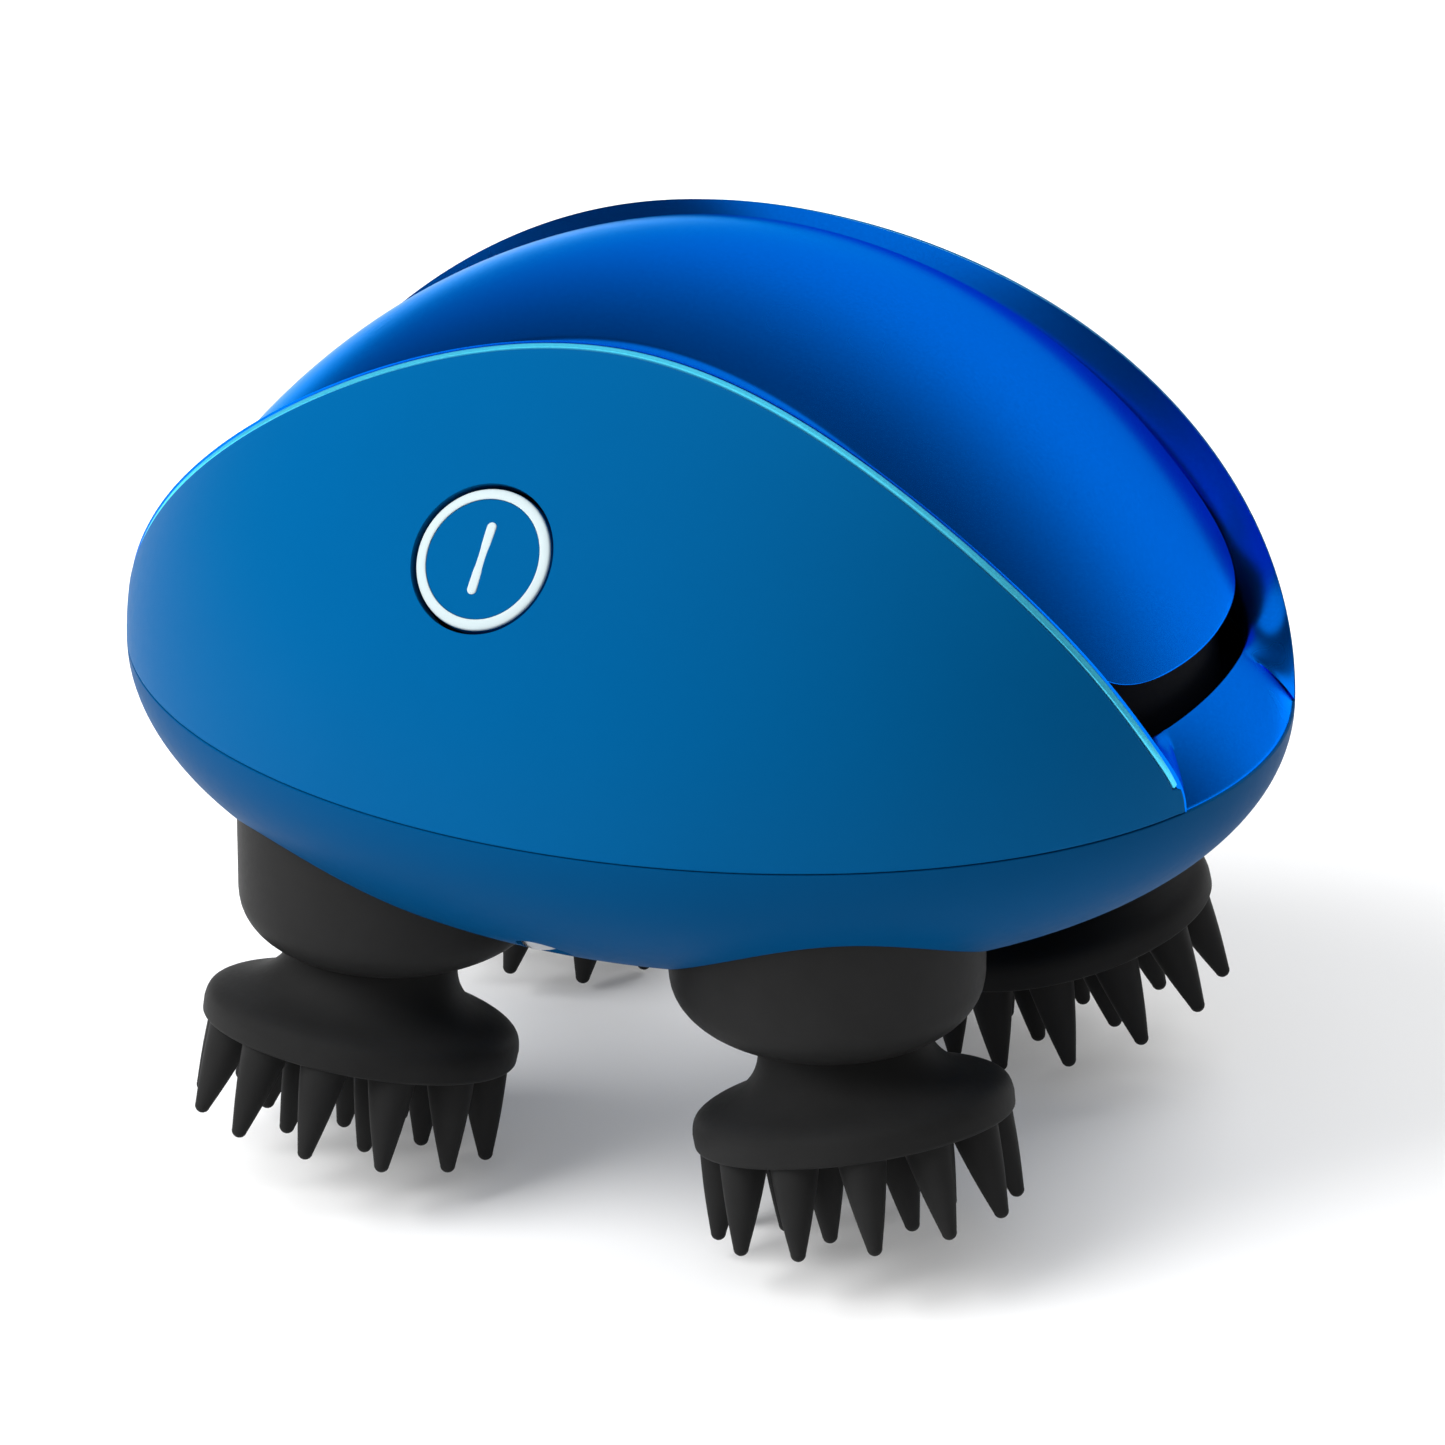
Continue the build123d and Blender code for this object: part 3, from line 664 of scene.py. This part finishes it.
def make_screws():
    """Cross-head screws in the underside."""
    profile = [(0, 34.2), (1.6, 34.25), (2.3, 34.5), (2.65, 35.1), (SCREW_R, 36), (1.2, 36.0), (1.2, 56),
               (0, 56.6)]
    bm = bmesh.new()
    for x, y in screw_spots():
        revolve(bm, profile, 40, Matrix.Translation((x, y, 0)))
    screws = finish_mesh("housing_screw_set", bm)
    cutters = []
    for turn in (0.4, 0.4 + math.pi / 2):
        bm = bmesh.new()
        for x, y in screw_spots():
            place = (Matrix.Translation((x, y, 34.4)) @ Matrix.Rotation(turn, 4, "Z")
                     @ Matrix.Diagonal((3.0, 0.55, 1.9, 1)))
            bmesh.ops.create_cube(bm, size=1, matrix=place)
        cutters.append(finish_mesh("slots", bm))
    boolean(screws, cutters)
    return screws


# ---------------------------------------------------------------- materials

class Nodes:
    """Short-hand for building one node material."""

    def __init__(self, name):
        self.material = bpy.data.materials.new(name)
        self.material.use_nodes = True
        self.tree = self.material.node_tree
        self.shader = self.tree.nodes["Principled BSDF"]

    def add(self, kind):
        return self.tree.nodes.new(kind)

    def link(self, out, into):
        self.tree.links.new(out, into)

    def set(self, **values):
        for key, value in values.items():
            self.shader.inputs[key.replace("_", " ")].default_value = value

    def noise(self, scale, detail=3.0, rough=0.5, stretch=(1, 1, 1)):
        place = self.add("ShaderNodeTexCoord")
        mapping = self.add("ShaderNodeMapping")
        mapping.inputs["Scale"].default_value = stretch
        node = self.add("ShaderNodeTexNoise")
        node.inputs["Scale"].default_value = scale
        node.inputs["Detail"].default_value = detail
        node.inputs["Roughness"].default_value = rough
        self.link(place.outputs["Object"], mapping.inputs["Vector"])
        self.link(mapping.outputs["Vector"], node.inputs["Vector"])
        return node.outputs["Fac"]

    def blend(self, fac, colours, low=0.3, high=0.7):
        ramp = self.add("ShaderNodeValToRGB")
        ramp.color_ramp.elements[0].position = low
        ramp.color_ramp.elements[1].position = high
        for element, colour in zip(ramp.color_ramp.elements, colours):
            element.color = (*colour, 1)
        self.link(fac, ramp.inputs["Fac"])
        self.link(ramp.outputs["Color"], self.shader.inputs["Base Color"])

    def span(self, fac, socket, low, high):
        node = self.add("ShaderNodeMapRange")
        node.inputs["To Min"].default_value = low
        node.inputs["To Max"].default_value = high
        self.link(fac, node.inputs["Value"])
        self.link(node.outputs["Result"], self.shader.inputs[socket])

    def bump(self, fac, strength, distance):
        node = self.add("ShaderNodeBump")
        node.inputs["Strength"].default_value = strength
        node.inputs["Distance"].default_value = distance
        self.link(fac, node.inputs["Height"])
        self.link(node.outputs["Normal"], self.shader.inputs["Normal"])


def linear(r, g, b):
    """Linear colour from 0-255 sRGB."""
    return tuple(c / 12.92 if c <= 0.04045 else ((c + 0.055) / 1.055) ** 2.4
                 for c in (r / 255, g / 255, b / 255))


def soft_touch(name, colour):
    """Matte, finely grained soft-touch plastic."""
    n = Nodes(name)
    dark = tuple(c * 0.93 for c in colour)
    n.blend(n.noise(18, 4), (dark, colour))
    n.span(n.noise(900, 2), "Roughness", 0.40, 0.50)
    n.bump(n.noise(5200, 2, 0.6), 0.12, 0.00002)
    n.set(Specular_IOR_Level=0.02)
    return n.material


def metallic_gloss(name, colour, deep, edge, rough=0.26, metal=1.0):
    """Metallic lacquer: fine flake in the colour, faint orange peel in the surface."""
    n = Nodes(name)
    n.blend(n.noise(2600, 2, 0.7), (deep, colour), 0.25, 0.75)
    n.span(n.noise(60, 3), "Roughness", rough - 0.02, rough + 0.03)
    n.bump(n.noise(420, 2), 0.05, 0.00004)
    n.set(Metallic=metal, Specular_Tint=(*edge, 1))
    return n.material


def silicone(name, colour, rough=0.55):
    """Matte silicone with a fine powdery grain."""
    n = Nodes(name)
    lighter = tuple(c * 1.25 for c in colour)
    n.blend(n.noise(90, 5, 0.6), (colour, lighter))
    n.span(n.noise(1500, 3), "Roughness", rough - 0.05, rough + 0.06)
    n.bump(n.noise(3800, 3, 0.6), 0.18, 0.00003)
    n.set(Specular_IOR_Level=0.05)
    return n.material


def moulded(name, colour, rough=0.4, grain=0.10):
    """Plain moulded plastic with slight colour drift and a spark-eroded grain."""
    n = Nodes(name)
    n.blend(n.noise(40, 4), (tuple(c * 0.92 for c in colour), colour))
    n.span(n.noise(800, 2), "Roughness", rough - 0.05, rough + 0.05)
    n.bump(n.noise(3000, 2), grain, 0.00003)
    return n.material


def turned_metal(name, colour, rough=0.28):
    """Turned or drawn metal with fine lines round its length."""
    n = Nodes(name)
    lines = n.noise(900, 2, 0.5, stretch=(0.15, 0.15, 3.0))
    n.blend(lines, (tuple(c * 0.85 for c in colour), colour))
    n.span(lines, "Roughness", rough - 0.06, rough + 0.1)
    n.bump(lines, 0.15, 0.00002)
    n.set(Metallic=1.0)
    return n.material


def dress(obj, *materials):
    """Gives obj these materials, with each face keeping its material index, which clear() resets."""
    index = [face.material_index for face in obj.data.polygons]
    obj.data.materials.clear()
    for material in materials:
        obj.data.materials.append(material)
    obj.data.polygons.foreach_set("material_index", index if len(materials) > 1 else [0] * len(index))


matte_blue = soft_touch("soft_touch_blue", linear(0, 84, 138))
# a darker copy of the covers' soft-touch blue for the lower housing: painted shade for the underside,
# which faces away from the light
bowl_shaded_blue = soft_touch("soft_touch_bowl_painted_shade", linear(0, 70, 118))
gloss_blue = metallic_gloss("metallic_blue", linear(0, 114, 236), linear(0, 106, 226),
                            linear(70, 205, 255))
trim_blue = metallic_gloss("trim_cyan", linear(92, 226, 255), linear(72, 212, 252),
                           linear(150, 225, 255), 0.3, 0.6)
# near-black for the inner dome: painted shade standing for the deep shadow in the slot at the grip's ends
painted_slot_shade = silicone("painted_slot_shade", linear(4, 7, 14), 0.7)
# a darker blue for the head pockets, which are part of the lower housing: painted shade for these recesses
# under the body
pocket_shade_blue = moulded("pocket_shade_blue", linear(6, 50, 90), 0.5)
mark_pale = moulded("mark_pale", linear(186, 201, 205), 0.35, 0.04)
silicone_black = silicone("silicone_charcoal", linear(33, 33, 33))
boss_dark = silicone("boss_charcoal", linear(34, 34, 34), 0.5)
stopper_blue = silicone("stopper_blue", linear(8, 84, 140), 0.6)
cad_materials = {
    "acetal_white": moulded("acetal_white", linear(228, 228, 220), 0.35),
    "nylon_grey": moulded("nylon_grey", linear(96, 98, 102), 0.5),
    "steel": turned_metal("steel", linear(170, 172, 176)),
    "brass": turned_metal("brass", linear(196, 160, 92)),
    "motor_can": turned_metal("motor_can", linear(176, 178, 182), 0.35),
    "cell_wrap": moulded("cell_wrap", linear(30, 120, 110), 0.25, 0.03),
    "board_green": moulded("board_green", linear(14, 84, 48), 0.3, 0.05),
    "switch_black": moulded("switch_black", linear(20, 20, 22), 0.4),
    "rubber_black": silicone("rubber_black", linear(22, 22, 22), 0.7),
}

# ---------------------------------------------------------------- assembly

def place(obj, body, node, slot, *materials):
    dress(obj, *materials)
    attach(obj, body)
    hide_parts(node)


front_cover = make_cover("front_cover", -1)
rear_cover = make_cover("rear_cover", 1)
button_turn = Matrix((tuple(button_side), tuple(button_up), tuple(button_out))).transposed().to_4x4()
button_place = Matrix.Translation(tuple(button_at)) @ button_turn
boolean(front_cover, [cutter_cylinder(BUTTON_HOLE_R, -8, 8, button_place, 160)])
boolean(rear_cover, [make_port_cutter()])
place(front_cover, "housing", "front_side_cover", "matte_blue", matte_blue)
place(rear_cover, "housing", "rear_side_cover", "matte_blue", matte_blue)
place(make_trim("front_trim", -1), "housing", "front_trim_strip", "trim_blue", trim_blue)
place(make_trim("rear_trim", 1), "housing", "rear_trim_strip", "trim_blue", trim_blue)
# the frame's inner dome takes the near-black painted shade
place(make_upper_housing(), "housing", "upper_housing", "gloss_blue", gloss_blue, painted_slot_shade)
place(make_grip(), "housing", "palm_grip", "gloss_blue", gloss_blue)
bowl = make_bowl()
# the bowl takes the darker blue: painted shade for the underside
place(bowl, "housing", "lower_housing", "matte_blue", bowl_shaded_blue)
pockets = make_pockets()                   # they are part of the lower housing, which the bowl replaces
# the pocket walls take the darker blue: painted shade for the recesses
dress(pockets, pocket_shade_blue)
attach(pockets, "housing")
place(make_button(), "button", "power_button", "matte_blue", matte_blue)
place(make_button_ring(), "button", "button_ring", "pale_mark", mark_pale)
place(make_button_bar(), "button", "button_bar", "pale_mark", mark_pale)
place(make_stopper(), "stopper", "port_plug", "rubber_black", stopper_blue)
place(make_screws(), "housing", "housing_screws", "steel", cad_materials["steel"])
head_mesh = make_head_mesh()
for corner in LEAN:
    head = bpy.data.objects.new(f"silicone_head_{corner}", head_mesh.copy())
    head.data.transform(head_place(corner))
    bpy.context.scene.collection.objects.link(head)
    place(head, f"{corner}_head", f"massage_head_{corner}", "silicone", silicone_black)
    place(make_boss(corner), f"{corner}_head", f"head_boss_{corner}", "boss_grey", boss_dark)
slots = {part["node"]: part["material_slot"] for part in frame["record"]["subparts"]}
for node, obj in frame["nodes"].items():
    if slots.get(node) in cad_materials:
        dress(obj, cad_materials[slots[node]])
    else:
        dress(obj, matte_blue)

# ---------------------------------------------------------------- stage, light and camera

def make_floor():
    bm = bmesh.new()
    bmesh.ops.create_grid(bm, x_segments=1, y_segments=1, size=4000)
    floor = finish_mesh("floor", bm)
    n = Nodes("floor_white")
    n.set(Base_Color=(0.80, 0.80, 0.80, 1), Roughness=0.9, Specular_IOR_Level=0.0,
          Emission_Color=(1, 1, 1, 1), Emission_Strength=0.16)
    dress(floor, n.material)
    floor.location.z = -0.0002


def area_light(name, place, target, size, power):
    light = bpy.data.lights.new(name, "AREA")
    light.shape = "RECTANGLE"
    light.size, light.size_y = size
    light.energy = power
    obj = bpy.data.objects.new(name, light)
    obj.location = place
    obj.rotation_mode = "QUATERNION"
    obj.rotation_quaternion = (Vector(target) - Vector(place)).to_track_quat("-Z", "Y")
    obj.visible_camera = False
    obj.visible_glossy = False
    bpy.context.scene.collection.objects.link(obj)


def make_world():
    """Dim studio surround with a bright wall behind the object and a soft patch overhead in front."""
    world = bpy.data.worlds.new("studio")
    bpy.context.scene.world = world
    world.use_nodes = True
    tree = world.node_tree
    coords = tree.nodes.new("ShaderNodeTexCoord")
    toward = tree.nodes.new("ShaderNodeVectorMath")
    toward.operation = "DOT_PRODUCT"
    toward.inputs[1].default_value = (0.07, 0.997, 0.0)
    scale = tree.nodes.new("ShaderNodeMapRange")
    scale.inputs["From Min"].default_value = -1
    ramp = tree.nodes.new("ShaderNodeValToRGB")
    stops = [(0.0, 0.08), (0.70, 0.12), (0.78, 0.27), (0.85, 0.50), (0.92, 0.84), (0.96, 0.90),
             (1.0, 0.76)]
    while len(ramp.color_ramp.elements) < len(stops):
        ramp.color_ramp.elements.new(0.5)
    for element, (at, grey) in zip(ramp.color_ramp.elements, stops):
        element.position = at
        element.color = (grey, grey, grey, 1)
    front = tree.nodes.new("ShaderNodeVectorMath")
    front.operation = "DOT_PRODUCT"
    front.inputs[1].default_value = (0.0, -0.45, 0.893)
    lobe = tree.nodes.new("ShaderNodeMapRange")
    lobe.interpolation_type = "SMOOTHSTEP"
    lobe.inputs["From Min"].default_value = 0.70
    lobe.inputs["From Max"].default_value = 0.90
    lobe.inputs["To Max"].default_value = 0.75
    total = tree.nodes.new("ShaderNodeMath")
    tree.links.new(coords.outputs["Generated"], front.inputs[0])
    tree.links.new(front.outputs["Value"], lobe.inputs["Value"])
    tree.links.new(ramp.outputs["Color"], total.inputs[0])
    tree.links.new(lobe.outputs["Result"], total.inputs[1])
    tree.links.new(coords.outputs["Generated"], toward.inputs[0])
    tree.links.new(toward.outputs["Value"], scale.inputs["Value"])
    tree.links.new(scale.outputs["Result"], ramp.inputs["Fac"])
    tree.links.new(total.outputs["Value"], tree.nodes["Background"].inputs["Strength"])
    tree.nodes["Background"].inputs["Color"].default_value = (1, 1, 1, 1)


def make_camera():
    azimuth, elevation, distance = math.radians(24.25), math.radians(24.44), 1.0
    target = Vector((0.0200, -0.04046, 0.06266))
    back = Vector((math.sin(azimuth) * math.cos(elevation), -math.cos(azimuth) * math.cos(elevation),
                   math.sin(elevation)))
    camera = bpy.data.cameras.new("camera")
    camera.lens = 250.7
    camera.clip_start, camera.clip_end = 0.05, 50
    obj = bpy.data.objects.new("camera", camera)
    obj.location = target + back * distance
    obj.rotation_mode = "QUATERNION"
    obj.rotation_quaternion = (-back).to_track_quat("-Z", "Y")
    bpy.context.scene.collection.objects.link(obj)
    bpy.context.scene.camera = obj


make_floor()
make_world()
make_camera()
area_light("key", (-0.92, -0.80, 1.08), (0, 0, 0.05), (1.2, 1.2), 38)
area_light("back", (0.15, 1.25, 1.05), (0, 0, 0), (1.6, 1.6), 24)
bpy.context.scene.view_settings.view_transform = "Standard"
